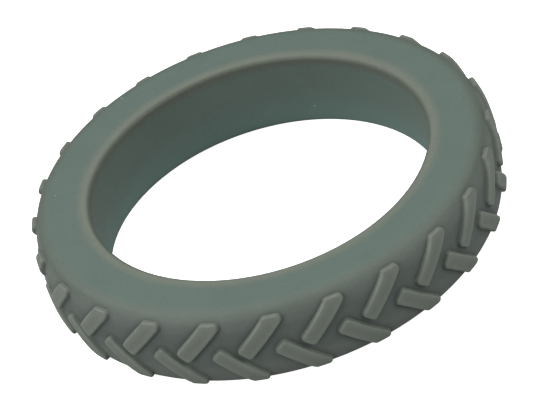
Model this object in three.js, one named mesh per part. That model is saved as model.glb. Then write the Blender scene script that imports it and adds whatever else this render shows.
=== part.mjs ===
// Solid rubber tyre ring: a soft band with a plain bore, flat side faces, rounded shoulders
// and two staggered rows of slanted lugs that make an open chevron tread.
//
// Millimetres. The ring's axis is +Z and the ring lies on its lower side face, so the origin is
// the bore's centre on that face. The ring is one moulding: the band and each lug are separate
// solids here, with a hair's breadth between them.
import * as THREE from "three";

// Band
const boreRadius = 32;
const upperBoreEdge = 0.9; // radius between the bore and the upper side face
const lowerBoreEdge = 1.3;
const ringWidth = 15.9;
const flatFaceRadius = 38.5; // where a side face starts to roll over into the shoulder
const treadRadius = 43.3; // the band's radius at its mid-plane, under the lugs
const shoulderExponent = 3.8; // 2 would be an ellipse, larger is squarer

// Lugs
const lugsPerRow = 24;
const lugAngle = THREE.MathUtils.degToRad(45); // between a lug and the ring's mid-plane
const lugHeight = 0.85;
const lugFootWidth = 3.2;
const lugTopWidth = 2.8;
const lugShoulderHeight = 0.6; // share of lugHeight below the eased top edge
const lugShoulderInset = 0.06; // how far the wall leans in up to that height
const lugInnerEnd = -0.58; // middle of the inner end, measured from the mid-plane along the tread
const lugOuterEnd = 6.8; // outer end, measured the same way
const lowerRowShift = THREE.MathUtils.degToRad(8.5); // lower row against upper row, round the axis
const lugSeatGap = 0.05; // between a lug's foot and the band

// Facets
const facetsRound = 96;
const facetsTread = 18;
const facetsBoreEdge = 4;
const facetsAlongLug = 9;

const bandMaterial = new THREE.MeshStandardMaterial({ color: 0x6d7c74, roughness: 0.62, metalness: 0 });
const lugMaterial = new THREE.MeshStandardMaterial({ color: 0x747f76, roughness: 0.6, metalness: 0 });

// The outer wall's section from the lower side face to the upper one, as (radius, height).
class TreadSection extends THREE.Curve {
  getPoint(t, target = new THREE.Vector2()) {
    const angle = Math.PI * t;
    const power = 2 / shoulderExponent;
    const across = Math.sign(Math.cos(angle)) * Math.abs(Math.cos(angle)) ** power;
    const outward = Math.abs(Math.sin(angle)) ** power;
    const radius = flatFaceRadius + (treadRadius - flatFaceRadius) * outward;
    return target.set(radius, (ringWidth / 2) * (1 - across));
  }
}

const treadSection = new TreadSection();
treadSection.arcLengthDivisions = 2000;
const treadLength = treadSection.getLength();

// The rounded corner between the bore and a side face. side is 1 at the top face, -1 at the bottom.
function boreEdge(side, edgeRadius) {
  const points = [];
  const centreHeight = ringWidth / 2 + side * (ringWidth / 2 - edgeRadius);
  for (let i = 0; i <= facetsBoreEdge; i++) {
    const angle = (Math.PI / 2) * (i / facetsBoreEdge);
    const radius = boreRadius + edgeRadius * (1 - Math.sin(angle));
    const height = centreHeight + side * edgeRadius * Math.cos(angle);
    points.push(new THREE.Vector2(radius, height));
  }
  return side > 0 ? points : points.reverse();
}

// The band: its closed section turned round the axis.
function makeBand() {
  const section = [
    ...treadSection.getSpacedPoints(facetsTread),
    ...boreEdge(1, upperBoreEdge),
    ...boreEdge(-1, lowerBoreEdge),
  ];
  section.push(section[0].clone());
  const geometry = new THREE.LatheGeometry(section, facetsRound);
  geometry.rotateX(Math.PI / 2);
  const band = new THREE.Mesh(geometry, bandMaterial);
  band.name = "ring_band";
  return band;
}

// A point over the tread: around is an arc length round the axis, up an arc length along the
// section from the mid-plane, and height the distance out from the band's surface.
function overTread(around, up, height) {
  const at = 0.5 + up / treadLength;
  const foot = treadSection.getPointAt(at);
  const along = treadSection.getTangentAt(at);
  const radius = foot.x + along.y * height;
  const turn = around / treadRadius;
  return new THREE.Vector3(
    radius * Math.cos(turn),
    radius * Math.sin(turn),
    foot.y - along.x * height,
  );
}

// One level of a lug: how high it is above the band, and how far its walls have leaned in.
const lugLevels = [
  { height: lugSeatGap, inset: 0 },
  { height: lugShoulderHeight * lugHeight, inset: lugShoulderInset },
  { height: lugHeight, inset: (lugFootWidth - lugTopWidth) / 2 },
];

// A lug as a box bent onto the tread. side is 1 in the upper row and -1 in the lower one.
// Its inner end is square to its length, and its outer end runs parallel to the side face.
function lugGeometry(side) {
  const geometry = new THREE.BoxGeometry(1, 1, 1, 1, facetsAlongLug, lugLevels.length - 1);
  const sin = Math.sin(lugAngle);
  const cos = Math.cos(lugAngle);
  const position = geometry.getAttribute("position");
  for (let i = 0; i < position.count; i++) {
    const level = lugLevels[Math.round((position.getZ(i) + 0.5) * (lugLevels.length - 1))];
    const across = position.getX(i) * (lugFootWidth - 2 * level.inset);
    const reach = lugOuterEnd - level.inset - lugInnerEnd;
    const length = (reach + side * cos * across) / sin;
    const along = THREE.MathUtils.lerp(level.inset, length, position.getY(i) + 0.5);
    const around = cos * along + side * sin * across;
    const outward = lugInnerEnd + sin * along - side * cos * across;
    const point = overTread(around, side * outward, level.height);
    position.setXYZ(i, point.x, point.y, point.z);
  }
  geometry.computeVertexNormals();
  return geometry;
}

// A row of lugs, evenly round the ring and named in that order.
function makeRow(name, side, shift) {
  const row = new THREE.Group();
  row.name = `${name}_row`;
  const geometry = lugGeometry(side);
  for (let i = 0; i < lugsPerRow; i++) {
    const lug = new THREE.Mesh(geometry, lugMaterial);
    lug.name = `${name}_lug_${String(i + 1).padStart(2, "0")}`;
    lug.rotation.z = shift + (2 * Math.PI * i) / lugsPerRow;
    row.add(lug);
  }
  return row;
}

const tyreRing = new THREE.Group();
tyreRing.name = "tyre_ring";
tyreRing.add(makeBand());
tyreRing.add(makeRow("upper", 1, 0));
tyreRing.add(makeRow("lower", -1, lowerRowShift));

export default tyreRing;
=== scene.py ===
"""Looks for the solid rubber tyre ring: a moulded band with two staggered rows of slanted lugs.

Everything is in metres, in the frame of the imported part: the ring lies on its lower side face,
its axis is +Z and the bore's centre on that face is the origin.
"""

import math

import bpy
import numpy as np
from mathutils import Matrix, Vector


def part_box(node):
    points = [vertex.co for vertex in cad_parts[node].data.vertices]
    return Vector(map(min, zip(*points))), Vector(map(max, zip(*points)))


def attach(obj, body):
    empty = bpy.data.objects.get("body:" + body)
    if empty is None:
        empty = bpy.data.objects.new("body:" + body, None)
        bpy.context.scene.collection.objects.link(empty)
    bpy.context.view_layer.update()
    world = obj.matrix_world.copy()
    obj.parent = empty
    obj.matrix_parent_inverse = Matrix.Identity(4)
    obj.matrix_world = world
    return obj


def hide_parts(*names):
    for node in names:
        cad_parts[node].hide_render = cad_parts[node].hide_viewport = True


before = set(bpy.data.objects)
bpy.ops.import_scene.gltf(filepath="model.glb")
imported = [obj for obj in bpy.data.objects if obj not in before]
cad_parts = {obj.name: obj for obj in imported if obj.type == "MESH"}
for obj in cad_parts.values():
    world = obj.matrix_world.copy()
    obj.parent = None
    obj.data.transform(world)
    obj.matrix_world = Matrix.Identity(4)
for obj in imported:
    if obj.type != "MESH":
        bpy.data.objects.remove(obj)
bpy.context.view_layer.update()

MM = 0.001

# ---------------------------------------------------------------- dimensions

BAND_LOW, BAND_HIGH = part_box("ring_band")
RING_WIDTH = BAND_HIGH.z - BAND_LOW.z
TREAD_RADIUS = (BAND_HIGH.x - BAND_LOW.x) / 2
MID_PLANE = (BAND_HIGH.z + BAND_LOW.z) / 2
RING_CENTRE = Vector((0, 0, MID_PLANE))
BORE_RADIUS = 32 * MM
UPPER_BORE_EDGE = 0.9 * MM  # radius between the bore and the upper side face
LOWER_BORE_EDGE = 1.3 * MM
FLAT_FACE_RADIUS = 38.5 * MM
SHOULDER_EXPONENT = 3.8  # 2 would be an ellipse, larger is squarer

LUGS_PER_ROW = 24
LUG_ANGLE = math.radians(45)  # between a lug and the ring's mid-plane
LUG_HEIGHT = 0.845 * MM
LUG_FOOT_WIDTH = 3.2 * MM
LUG_LEAN = 0.2 * MM  # how far a lug's walls lean in from foot to top
LUG_INNER_END = -0.58 * MM
LUG_OUTER_END = 6.8 * MM
LUG_CORNER_RADIUS = 0.9 * MM  # in plan, at the foot
LUG_TOP_ROUND = 0.42 * MM
LUG_ROOT_ROUND = 0.15 * MM
LUG_SKIRT = 0.45 * MM  # how far the root fillet's skirt runs out under the band's surface
LUG_SKIRT_DIP = 0.035 * MM
LUG_SUNK = 0.3 * MM  # depth of a lug's hidden bottom inside the band
LOWER_ROW_SHIFT = math.radians(8.5)

BAND_STEPS_ROUND = 360
BAND_STEPS_TREAD = 80
BAND_STEPS_FACE = 28
BAND_STEPS_BORE_EDGE = 10
BAND_STEPS_BORE = 48
LUG_STEPS_LONG = 22
LUG_STEPS_END = 6
LUG_STEPS_CORNER = 7
LUG_STEPS_ROUND = 6


# ---------------------------------------------------------------- outer wall


class Tread:
    """The band's outer wall in section, measured along its surface from the mid-plane."""

    def __init__(self, samples=6001):
        angle = np.linspace(0, math.pi, samples)
        power = 2 / SHOULDER_EXPONENT
        across = np.sign(np.cos(angle)) * np.abs(np.cos(angle)) ** power
        outward = np.abs(np.sin(angle)) ** power
        self.radius = FLAT_FACE_RADIUS + (TREAD_RADIUS - FLAT_FACE_RADIUS) * outward
        self.height = MID_PLANE - RING_WIDTH / 2 * across
        steps = np.hypot(np.diff(self.radius), np.diff(self.height))
        self.length = float(steps.sum())
        self.up = np.concatenate([[0], np.cumsum(steps)]) - self.length / 2
        tangent_r = np.gradient(self.radius, self.up)
        tangent_z = np.gradient(self.height, self.up)
        size = np.hypot(tangent_r, tangent_z)
        self.normal_r = tangent_z / size
        self.normal_z = -tangent_r / size

    def section(self, steps):
        """Evenly spaced (radius, height) points from the lower side face to the upper one."""
        up = np.linspace(-self.length / 2, self.length / 2, steps + 1)
        radius = np.interp(up, self.up, self.radius)
        height = np.interp(up, self.up, self.height)
        return list(zip(radius, height))

    def point(self, around, up, lift):
        """The point lift above the surface, around measured at the tread's largest radius."""
        normal_r = np.interp(up, self.up, self.normal_r)
        normal_z = np.interp(up, self.up, self.normal_z)
        radius = np.interp(up, self.up, self.radius) + lift * normal_r
        height = np.interp(up, self.up, self.height) + lift * normal_z
        turn = around / TREAD_RADIUS
        return radius * math.cos(turn), radius * math.sin(turn), height


TREAD = Tread()


# ---------------------------------------------------------------- mesh helpers


def mesh_object(name, vertices, faces, **marks):
    """A smooth-shaded mesh object. Each mark is a number per vertex that the material reads."""
    mesh = bpy.data.meshes.new(name)
    mesh.from_pydata([tuple(v) for v in vertices], [], faces)
    mesh.shade_smooth()
    for mark, values in marks.items():
        mesh.attributes.new(mark, "FLOAT", "POINT").data.foreach_set("value", values)
    made = bpy.data.objects.new(name, mesh)
    bpy.context.scene.collection.objects.link(made)
    return made


def stretch(start, end, steps):
    """Points from start towards end, leaving the end out."""
    (r0, z0), (r1, z1) = start, end
    return [(r0 + (r1 - r0) * i / steps, z0 + (z1 - z0) * i / steps) for i in range(steps)]


def fade(value, start, end):
    """0 before start and 1 after end, with a smooth step between them."""
    share = min(max((value - start) / (end - start), 0), 1)
    return share * share * (3 - 2 * share)


def rounded(before, corner, after, radius, steps):
    """The arc of that radius that eases the corner of a line of three points."""
    before, corner, after = map(Vector, (before, corner, after))
    back = (before - corner).normalized()
    ahead = (after - corner).normalized()
    half = back.angle(ahead) / 2
    centre = corner + (back + ahead).normalized() * radius / math.sin(half)
    first = corner + back * radius / math.tan(half) - centre
    last = corner + ahead * radius / math.tan(half) - centre
    turn = first.angle_signed(last)
    arc = []
    for i in range(steps + 1):
        arc.append(centre + Matrix.Rotation(-turn * i / steps, 2) @ first)
    return arc


# ---------------------------------------------------------------- band


def bore_corner(side, rounding):
    """The rounded corner between a side face and the bore, from the face inwards."""
    centre_z = MID_PLANE + side * (RING_WIDTH / 2 - rounding)
    points = []
    for i in range(BAND_STEPS_BORE_EDGE + 1):
        angle = math.pi / 2 * i / BAND_STEPS_BORE_EDGE
        radius = BORE_RADIUS + rounding * (1 - math.sin(angle))
        points.append((radius, centre_z + side * rounding * math.cos(angle)))
    return points


def band_section():
    """The band's closed section, from the lower side face round by the tread and the bore."""
    tread = TREAD.section(BAND_STEPS_TREAD)
    upper = bore_corner(1, UPPER_BORE_EDGE)
    lower = bore_corner(-1, LOWER_BORE_EDGE)[::-1]
    section = tread[:-1]
    section += stretch(tread[-1], upper[0], BAND_STEPS_FACE)
    section += upper[:-1]
    section += stretch(upper[-1], lower[0], BAND_STEPS_BORE)
    section += lower[:-1]
    section += stretch(lower[-1], tread[0], BAND_STEPS_FACE)
    return section


# Where the band's marks fade, each from one distance to the other.
RIM_RISE = (0.3 * MM, 1.0 * MM)  # out from the bore
RIM_FALL = (1.2 * MM, 3.0 * MM)  # out from the bore
BORE_END = (0.4 * MM, 0.9 * MM)  # out from the bore
LIP_FALL = (0.8 * MM, 2.6 * MM)  # down from the upper side face
FOOT_LIGHT_FALL = (2 * MM, 9 * MM)  # up from the lower side face
TREAD_RISE = (1.3 * MM, 2.8 * MM)  # out from the edge of the flat face
SHOULDER_FALL = (-1.4 * MM, -0.5 * MM)  # out from the tread's radius, so inside it
MIDDLE_SHADE_FALL = (3.0 * MM, 4.5 * MM)  # either way from the painted shade strip's own centre
MIDDLE_SHADE_OFFSET = 0.7 * MM  # that centre, above the mid-plane


def rim_mark(radius):
    """1 on the worn rim round the mouth of the bore, fading out on either side of it."""
    from_bore = radius - BORE_RADIUS
    return fade(from_bore, *RIM_RISE) * (1 - fade(from_bore, *RIM_FALL))


def in_bore(radius):
    """1 on the bore's wall, 0 from its rounded corners outwards."""
    return 1 - fade(radius - BORE_RADIUS, *BORE_END)


def lip_mark(radius, height):
    """1 on the brownish lip just inside the bore's upper mouth, fading out down the bore."""
    return in_bore(radius) * (1 - fade(BAND_HIGH.z - height, *LIP_FALL))


def bore_foot_light_mark(radius, height):
    """1 where painted light pales the foot of the bore, fading out towards the middle of its
    wall.
    """
    return in_bore(radius) * (1 - fade(height, *FOOT_LIGHT_FALL))


def tread_mark(radius):
    """0 on the side faces and in the bore, 1 on the shoulders and the tread."""
    return fade(radius - FLAT_FACE_RADIUS, *TREAD_RISE)


def shoulder_mark(radius):
    """1 on the browner shoulders, 0 on the tread between them."""
    return 1 - fade(radius - TREAD_RADIUS, *SHOULDER_FALL)


def middle_shade_mark(height):
    """1 on a strip of painted shade just above the middle of the tread, 0 towards the shoulders.
    """
    return 1 - fade(abs(height - MID_PLANE - MIDDLE_SHADE_OFFSET), *MIDDLE_SHADE_FALL)


def wrapped_faces(around, along):
    """Quads over a grid of points that closes on itself both ways."""
    faces = []
    for i in range(around):
        near, far = i * along, (i + 1) % around * along
        for j in range(along):
            k = (j + 1) % along
            faces.append((near + j, far + j, far + k, near + k))
    return faces


def make_band():
    """The band: its section turned round the axis, with its marks."""
    section = band_section()
    around = BAND_STEPS_ROUND
    vertices = []
    for i in range(around):
        turn = 2 * math.pi * i / around
        vertices += [(r * math.cos(turn), r * math.sin(turn), z) for r, z in section]
    marks = {
        "rim": [rim_mark(radius) for radius, _ in section] * around,
        "lip": [lip_mark(radius, height) for radius, height in section] * around,
        # The bore mark places painted light at the foot of the bore.
        "bore": [bore_foot_light_mark(radius, height) for radius, height in section] * around,
        "tread": [tread_mark(radius) for radius, _ in section] * around,
        "shoulder": [shoulder_mark(radius) for radius, _ in section] * around,
        # The middle mark places painted shade along the tread.
        "middle": [middle_shade_mark(height) for _, height in section] * around,
    }
    return mesh_object("tyre_band", vertices, wrapped_faces(around, len(section)), **marks)


# ---------------------------------------------------------------- lugs


def lug_wall():
    """A lug's wall in section: (distance out from the core outline, height above the band)."""
    foot = (LUG_CORNER_RADIUS, 0)
    top = (LUG_CORNER_RADIUS - LUG_LEAN, LUG_HEIGHT)
    skirt = (LUG_CORNER_RADIUS + LUG_SKIRT, -LUG_SKIRT_DIP)
    wall = [(LUG_CORNER_RADIUS + LUG_SKIRT, -LUG_SUNK), skirt]
    wall += rounded(skirt, foot, top, LUG_ROOT_ROUND, LUG_STEPS_ROUND)
    wall += rounded(foot, top, (0, LUG_HEIGHT), LUG_TOP_ROUND, LUG_STEPS_ROUND)
    return wall


def lug_core():
    """The corners of a lug's outline in plan, drawn in by the corner radius.

    Each is (around, up): inner end left and right, then outer end right and left. The inner end
    is square to the lug and the outer end runs parallel to the side face.
    """
    sin, cos = math.sin(LUG_ANGLE), math.cos(LUG_ANGLE)
    half = LUG_FOOT_WIDTH / 2 - LUG_CORNER_RADIUS
    reach = LUG_OUTER_END - LUG_CORNER_RADIUS - LUG_INNER_END
    corners = []
    for across, at_outer_end in ((-half, False), (half, False), (half, True), (-half, True)):
        along = (reach + cos * across) / sin if at_outer_end else LUG_CORNER_RADIUS
        around = cos * along + sin * across
        up = LUG_INNER_END + sin * along - cos * across
        corners.append(Vector((around, up)))
    return corners


def outline_at(core, distance):
    """The core outline grown by distance, with round corners: one closed ring of points."""
    steps = (LUG_STEPS_END, LUG_STEPS_LONG, LUG_STEPS_END, LUG_STEPS_LONG)
    normals = []
    for i, corner in enumerate(core):
        edge = (core[(i + 1) % 4] - corner).normalized()
        normals.append(Vector((edge.y, -edge.x)))
    ring = []
    for i, corner in enumerate(core):
        turn = normals[i - 1].angle_signed(normals[i])
        for j in range(LUG_STEPS_CORNER):
            spun = Matrix.Rotation(-turn * j / LUG_STEPS_CORNER, 2) @ normals[i - 1]
            ring.append(corner + spun * distance)
        following = core[(i + 1) % 4]
        for j in range(steps[i]):
            ring.append(corner.lerp(following, j / steps[i]) + normals[i] * distance)
    return ring


def core_grid(core):
    """The points that fill the core outline, row by row from its inner end to its outer end."""
    points = []
    for i in range(LUG_STEPS_LONG + 1):
        left = core[0].lerp(core[3], i / LUG_STEPS_LONG)
        right = core[1].lerp(core[2], i / LUG_STEPS_LONG)
        points += [left.lerp(right, j / LUG_STEPS_END) for j in range(LUG_STEPS_END + 1)]
    return points


def grid_edge():
    """For each point of an outline ring, the (row, column) of the core grid point it meets."""
    end, long = LUG_STEPS_END, LUG_STEPS_LONG
    walks = (
        [(0, j) for j in range(end)],
        [(i, end) for i in range(long)],
        [(long, end - j) for j in range(end)],
        [(long - i, 0) for i in range(long)],
    )
    met = []
    for walk in walks:
        met += [walk[0]] * LUG_STEPS_CORNER + walk
    return met


def wall_faces(count, levels):
    """Quads between neighbouring rings, each of count points."""
    faces = []
    for level in range(levels - 1):
        low, high = level * count, (level + 1) * count
        for i in range(count):
            j = (i + 1) % count
            faces.append((low + i, low + j, high + j, high + i))
    return faces


def cap_faces(ring_start, grid_start, count):
    """The faces that close a ring of count points: joins to the core grid, then the grid."""
    met = grid_edge()
    columns = LUG_STEPS_END + 1
    faces = []
    for i in range(count):
        j = (i + 1) % count
        a = grid_start + met[i][0] * columns + met[i][1]
        b = grid_start + met[j][0] * columns + met[j][1]
        faces.append((ring_start + i, ring_start + j, b) + ((a,) if a != b else ()))
    for i in range(LUG_STEPS_LONG):
        for j in range(LUG_STEPS_END):
            a = grid_start + i * columns + j
            faces.append((a, a + 1, a + columns + 1, a + columns))
    return faces


# Where a lug's marks fade, each from one distance to the other.
CROWN_FALL = (3.5 * MM, 6.3 * MM)  # up from the mid-plane
CROWN_LOSS = 0.8  # how much of the crown's wear the outer end lacks
END_FALL = (-1.4 * MM, -0.4 * MM)  # up from the outer end, so short of it
EDGE_HIGHLIGHT_FALL = (0, 0.5 * MM)  # in from the core outline
EDGE_HIGHLIGHT_START = 0.55  # the mark on the core outline itself
EDGE_HIGHLIGHT_RISE = (-1.5 * LUG_TOP_ROUND, -0.3 * LUG_TOP_ROUND)  # up from the top, so below it
WORN_RISE = (0.8 * LUG_HEIGHT, LUG_HEIGHT)  # up from the foot


def crown_mark(up):
    """1 over the crown of the tread, where the lugs wear, and less towards their outer ends."""
    return 1 - CROWN_LOSS * fade(up, *CROWN_FALL)


def side_highlight_mark(up):
    """1 along a lug's sides, 0 at its outer end, where its edge gets no painted highlight."""
    return 1 - fade(up - LUG_OUTER_END, *END_FALL)


def top_edge_highlight_marks(core):
    """How much painted highlight each point of a lug's top gets for being near the core outline,
    row by row.
    """
    length = (core[3] - core[0]).length
    width = (core[1] - core[0]).length
    marks = []
    for i in range(LUG_STEPS_LONG + 1):
        from_end = min(i, LUG_STEPS_LONG - i) / LUG_STEPS_LONG * length
        for j in range(LUG_STEPS_END + 1):
            from_side = min(j, LUG_STEPS_END - j) / LUG_STEPS_END * width
            marks.append(EDGE_HIGHLIGHT_START * (1 - fade(min(from_end, from_side), *EDGE_HIGHLIGHT_FALL)))
    return marks


def lug_mesh(side):
    """Vertices, faces and marks of a lug at the angle 0. side is 1 in the upper row, -1 below."""
    core = lug_core()
    wall = lug_wall()
    grid = core_grid(core)
    plan = []  # (around, up, lift)
    edge = []  # how much painted highlight each point gets for being near the rounded top edge
    for distance, lift in wall:
        ring = outline_at(core, distance)
        plan += [(p.x, p.y, lift) for p in ring]
        edge += [fade(lift - LUG_HEIGHT, *EDGE_HIGHLIGHT_RISE)] * len(ring)
    rings_end = len(plan)
    count = rings_end // len(wall)
    plan += [(p.x, p.y, -LUG_SUNK) for p in grid] + [(p.x, p.y, LUG_HEIGHT) for p in grid]
    edge += [0.0] * len(grid) + top_edge_highlight_marks(core)
    faces = wall_faces(count, len(wall))
    faces += [face[::-1] for face in cap_faces(0, rings_end, count)]
    faces += cap_faces(rings_end - count, rings_end + len(grid), count)
    if side < 0:
        faces = [face[::-1] for face in faces]
    vertices = [TREAD.point(around, side * up, lift) for around, up, lift in plan]
    edge = [mark * side_highlight_mark(up) for mark, (_, up, _) in zip(edge, plan)]
    worn = [fade(lift, *WORN_RISE) * crown_mark(up) for _, up, lift in plan]
    # The edge mark places a painted highlight along the rounded top edge.
    return vertices, faces, {"edge": edge, "worn": worn}


def make_lug(row, number, side, turn):
    name = f"tread_lug_{row}_{number:02d}"
    vertices, faces, marks = lug_mesh(side)
    spin = Matrix.Rotation(turn, 3, "Z")
    return mesh_object(name, [spin @ Vector(v) for v in vertices], faces, **marks)


def make_row(row, side, shift):
    lugs = []
    for i in range(LUGS_PER_ROW):
        lug = make_lug(row, i + 1, side, shift + 2 * math.pi * i / LUGS_PER_ROW)
        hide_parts(f"{row}_lug_{i + 1:02d}")
        lugs.append(lug)
    return lugs


# ---------------------------------------------------------------- materials

RUBBER_COLOUR = (0.1, 0.1385, 0.1195, 1)
# Painted light: the paler, greener foot of the bore stands in for light from below.
BORE_FOOT_LIGHT_COLOUR = (0.107, 0.167, 0.146, 1)
TREAD_COLOUR = (0.115, 0.134, 0.119, 1)
# Painted shade: a darker strip along the middle of the tread.
MIDDLE_SHADE_COLOUR = (0.096, 0.119, 0.1065, 1)
SHOULDER_COLOUR = (0.097, 0.121, 0.099, 1)
# Painted shade: the dark colour laid into the corners between the band and the lugs.
CORNER_SHADE_COLOUR = (0.045, 0.05, 0.045, 1)
RIM_COLOUR = (0.143, 0.161, 0.131, 1)
LIP_COLOUR = (0.1, 0.115, 0.09, 1)
WORN_COLOUR = (0.144, 0.164, 0.137, 1)
# Painted highlight along the lugs' rounded top edges.
EDGE_HIGHLIGHT_COLOUR = (0.163, 0.193, 0.163, 1)
DUST_COLOUR = (0.5, 0.52, 0.5, 1)

DUST_PER_METRE = 200
DUST_SIZE = 0.13 * MM
DUST_SHARE = 0.6

# Noise patterns: features per metre, detail, and the lowest and highest value.
MOTTLING = (170, 3, 0.975, 1.025)
SPECKLE = (1500, 4, 0.96, 1.04)
GRAIN = (5000, 3, 0, 1)
ROUGHNESS = (900, 2, 0.52, 0.6)
NOISE_SPREAD = (0.3, 0.7)  # where nearly all of a noise node's own values lie

GRAIN_HEIGHT = 0.02 * MM
GRAIN_STRENGTH = 0.2
RUBBER_IOR = 1.41

# Painted shade in the corners between the band and the lugs, from an occlusion node: how far it
# reaches, and the power its shade is raised to. More is darker.
BAND_CORNER_SHADE = (1.6 * MM, 2.4)
LUG_CORNER_SHADE = (1 * MM, 1.5)
CORNER_SHADE_SAMPLES = 16

# A colour Mix node's sockets, by index because their names repeat.
MIX_FIRST, MIX_SECOND, MIX_RESULT = 6, 7, 2


def new_material(name):
    """A material with a Principled shader, and the object coordinates that its patterns use."""
    material = bpy.data.materials.new(name)
    material.use_nodes = True
    place = material.node_tree.nodes.new("ShaderNodeTexCoord").outputs["Object"]
    return material, place


def add_node(material, kind, values=None, **settings):
    """A node with its sockets set or linked: a value that is a socket is linked."""
    node = material.node_tree.nodes.new(kind)
    for key, value in settings.items():
        setattr(node, key, value)
    for key, value in (values or {}).items():
        if isinstance(value, bpy.types.NodeSocket):
            material.node_tree.links.new(value, node.inputs[key])
        else:
            node.inputs[key].default_value = value
    return node


def calculate(material, operation, first, second):
    """The result of a math node on two values."""
    values = {0: first, 1: second}
    return add_node(material, "ShaderNodeMath", values, operation=operation).outputs[0]


def blend(material, factor, first, second):
    """The first colour where factor is 0 and the second where it is 1."""
    values = {"Factor": factor, MIX_FIRST: first, MIX_SECOND: second}
    return add_node(material, "ShaderNodeMix", values, data_type="RGBA").outputs[MIX_RESULT]


def scale_colour(material, colour, factor):
    """A colour made lighter or darker by a factor from a node."""
    values = {0: colour, 1: factor}
    return add_node(material, "ShaderNodeVectorMath", values, operation="MULTIPLY").outputs[0]


def read_mark(material, name):
    return add_node(material, "ShaderNodeAttribute", attribute_name=name).outputs["Fac"]


def noise(material, place, scale, detail, low, high):
    """Soft noise between low and high. scale is in features per metre."""
    values = {"Vector": place, "Scale": scale, "Detail": detail}
    raw = add_node(material, "ShaderNodeTexNoise", values).outputs["Fac"]
    start, end = NOISE_SPREAD
    values = {"Value": raw, "From Min": start, "From Max": end, "To Min": low, "To Max": high}
    return add_node(material, "ShaderNodeMapRange", values).outputs["Result"]


def dust(material, place):
    """1 on a few specks of dust, 0 elsewhere."""
    values = {"Vector": place, "Scale": DUST_PER_METRE}
    cells = add_node(material, "ShaderNodeTexVoronoi", values)
    reach = DUST_SIZE * DUST_PER_METRE
    inside = calculate(material, "LESS_THAN", cells.outputs["Distance"], reach)
    split = add_node(material, "ShaderNodeSeparateColor", {0: cells.outputs["Color"]})
    few = calculate(material, "GREATER_THAN", split.outputs[0], 1 - DUST_SHARE)
    return calculate(material, "MULTIPLY", inside, few)


def corner_shade(material, reach, power):
    """1 in the open, falling towards 0 in the angle between the band and a lug, where the colour
    gets painted shade.
    """
    values = {"Distance": reach}
    shade = add_node(material, "ShaderNodeAmbientOcclusion", values, samples=CORNER_SHADE_SAMPLES)
    return calculate(material, "POWER", shade.outputs["AO"], power)


def finish_rubber(material, place, colour):
    """Mottling, dust, a fine moulded grain and an uneven matte finish over the given colour."""
    shader = material.node_tree.nodes["Principled BSDF"]
    colour = scale_colour(material, colour, noise(material, place, *MOTTLING))
    colour = scale_colour(material, colour, noise(material, place, *SPECKLE))
    colour = blend(material, dust(material, place), colour, DUST_COLOUR)
    grain = noise(material, place, *GRAIN)
    values = {"Strength": GRAIN_STRENGTH, "Distance": GRAIN_HEIGHT, "Height": grain}
    bump = add_node(material, "ShaderNodeBump", values)
    links = material.node_tree.links
    links.new(colour, shader.inputs["Base Color"])
    links.new(bump.outputs["Normal"], shader.inputs["Normal"])
    links.new(noise(material, place, *ROUGHNESS), shader.inputs["Roughness"])
    shader.inputs["IOR"].default_value = RUBBER_IOR


def band_rubber():
    """Green-grey rubber: a pale worn rim at the bore, browner shoulders, painted shade in the
    tread's corners by the lugs and along a strip of its middle, and painted light at the foot of
    the bore.
    """
    material, place = new_material("band_rubber")
    # Painted shade along a strip of the tread's middle.
    tread = blend(material, read_mark(material, "middle"), TREAD_COLOUR, MIDDLE_SHADE_COLOUR)
    tread = blend(material, read_mark(material, "shoulder"), tread, SHOULDER_COLOUR)
    # Painted shade in the corners between the tread and the lugs.
    tread = blend(material, corner_shade(material, *BAND_CORNER_SHADE), CORNER_SHADE_COLOUR, tread)
    # Painted light at the foot of the bore.
    smooth = blend(material, read_mark(material, "bore"), RUBBER_COLOUR, BORE_FOOT_LIGHT_COLOUR)
    colour = blend(material, read_mark(material, "tread"), smooth, tread)
    colour = blend(material, read_mark(material, "lip"), colour, LIP_COLOUR)
    colour = blend(material, read_mark(material, "rim"), colour, RIM_COLOUR)
    finish_rubber(material, place, colour)
    return material


def lug_rubber():
    """The same rubber, worn pale and warm on top, with a painted highlight along the top edges
    and painted shade in the corners at the feet.
    """
    material, place = new_material("lug_rubber")
    # Painted shade in the corners at a lug's feet; the worn mark keeps it off the top.
    wall = blend(material, corner_shade(material, *LUG_CORNER_SHADE), CORNER_SHADE_COLOUR, WORN_COLOUR)
    colour = blend(material, read_mark(material, "worn"), wall, WORN_COLOUR)
    # Painted highlight along the rounded top edges.
    colour = blend(material, read_mark(material, "edge"), colour, EDGE_HIGHLIGHT_COLOUR)
    finish_rubber(material, place, colour)
    return material


# ---------------------------------------------------------------- stage

GROUND_REACH = 4.0  # from the middle to each side
GROUND_ROUGHNESS = 0.9
FLOOR_GREY = 0.9
FLOOR_GLOW = 0.95
BOARD_GREY = 0.36
BOARD_GLOW = 0.1
BOARD_DEPTH = 1 * MM  # under the floor
WHITE = (1, 1, 1, 1)
WORLD_STRENGTH = 0.04

# Softboxes: name, azimuth and elevation in degrees, width, radiance.
LIGHTS = (
    ("overhead", 0, 90, 1.1, 0.83),
    ("back_left", -120, 55, 0.8, 4.25),
    ("back_right", 120, 55, 0.8, 2.77),
    ("front_left", -60, 32, 0.8, 4.44),
    ("front", 0, 32, 0.8, 0.38),
    ("front_right", 60, 32, 0.8, 3.4),
)
LIGHT_DISTANCE = 1.3

CAMERA_AZIMUTH = 1.868
CAMERA_ELEVATION = 36.36
CAMERA_ROLL = 18.174  # degrees clockwise
CAMERA_DISTANCE = 548 * MM
CAMERA_AIM = RING_CENTRE + Vector((-0.663, -0.838, -1.108)) * MM
CAMERA_LENS = 200.3  # on the default 36 mm sensor
CAMERA_CLIP_START = 0.01


def towards(azimuth, elevation):
    """The direction at those angles in degrees, azimuth going round from the -Y side to +X."""
    a, e = math.radians(azimuth), math.radians(elevation)
    return Vector((math.sin(a) * math.cos(e), -math.cos(a) * math.cos(e), math.sin(e)))


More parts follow.
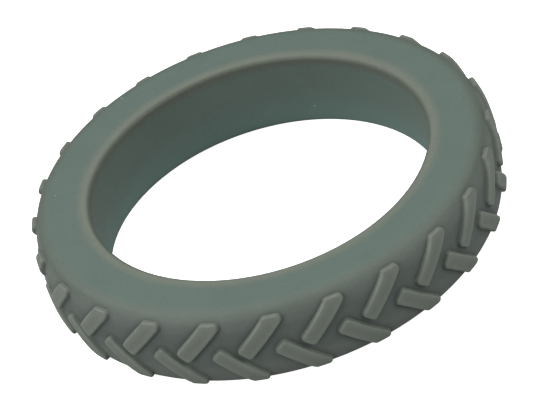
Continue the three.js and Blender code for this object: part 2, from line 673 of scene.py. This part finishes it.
def make_ground(name, height, grey, glow):
    """A wide flat surface of one plain grey, with a glow of its own."""
    size = GROUND_REACH
    corners = [(-size, -size), (size, -size), (size, size), (-size, size)]
    ground = mesh_object(name, [(x, y, height) for x, y in corners], [(0, 1, 2, 3)])
    material, _ = new_material(name)
    shader = material.node_tree.nodes["Principled BSDF"]
    shader.inputs["Base Color"].default_value = (grey, grey, grey, 1)
    shader.inputs["Roughness"].default_value = GROUND_ROUGHNESS
    shader.inputs["Emission Color"].default_value = WHITE
    shader.inputs["Emission Strength"].default_value = glow
    material.cycles.emission_sampling = "NONE"
    ground.data.materials.append(material)
    return ground


def make_floor():
    """A white floor for the camera, over a grey board that lights the ring from below."""
    floor = make_ground("floor", 0, FLOOR_GREY, FLOOR_GLOW)
    floor.visible_diffuse = False
    floor.visible_glossy = False
    floor.visible_shadow = False
    board = make_ground("bounce_board", -BOARD_DEPTH, BOARD_GREY, BOARD_GLOW)
    board.visible_camera = False


def make_light(name, azimuth, elevation, size, radiance):
    """A square softbox aimed at the ring."""
    back = towards(azimuth, elevation)
    light = bpy.data.lights.new(name, "AREA")
    light.size = size
    light.energy = radiance * math.pi * size**2
    made = bpy.data.objects.new(name, light)
    made.location = RING_CENTRE + back * LIGHT_DISTANCE
    made.rotation_euler = (-back).to_track_quat("-Z", "Y").to_euler()
    bpy.context.scene.collection.objects.link(made)


def make_world():
    world = bpy.data.worlds.new("studio")
    bpy.context.scene.world = world
    world.use_nodes = True
    background = world.node_tree.nodes["Background"]
    background.inputs["Color"].default_value = WHITE
    background.inputs["Strength"].default_value = WORLD_STRENGTH


def make_camera():
    back = towards(CAMERA_AZIMUTH, CAMERA_ELEVATION)
    camera = bpy.data.cameras.new("camera")
    camera.lens = CAMERA_LENS
    camera.clip_start = CAMERA_CLIP_START
    made = bpy.data.objects.new("camera", camera)
    made.location = CAMERA_AIM + back * CAMERA_DISTANCE
    level = (-back).to_track_quat("-Z", "Y")
    roll = Matrix.Rotation(math.radians(-CAMERA_ROLL), 4, "Z")
    made.rotation_euler = (level.to_matrix().to_4x4() @ roll).to_euler()
    bpy.context.scene.collection.objects.link(made)
    bpy.context.scene.camera = made


# ---------------------------------------------------------------- build

make_camera()
make_floor()
for light_facts in LIGHTS:
    make_light(*light_facts)
make_world()
bpy.context.scene.view_settings.view_transform = "Standard"

band = make_band()
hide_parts("ring_band")
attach(band, "root")
band.data.materials.append(band_rubber())

lug_material = lug_rubber()
for lug in make_row("upper", 1, 0) + make_row("lower", -1, LOWER_ROW_SHIFT):
    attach(lug, "root")
    lug.data.materials.append(lug_material)
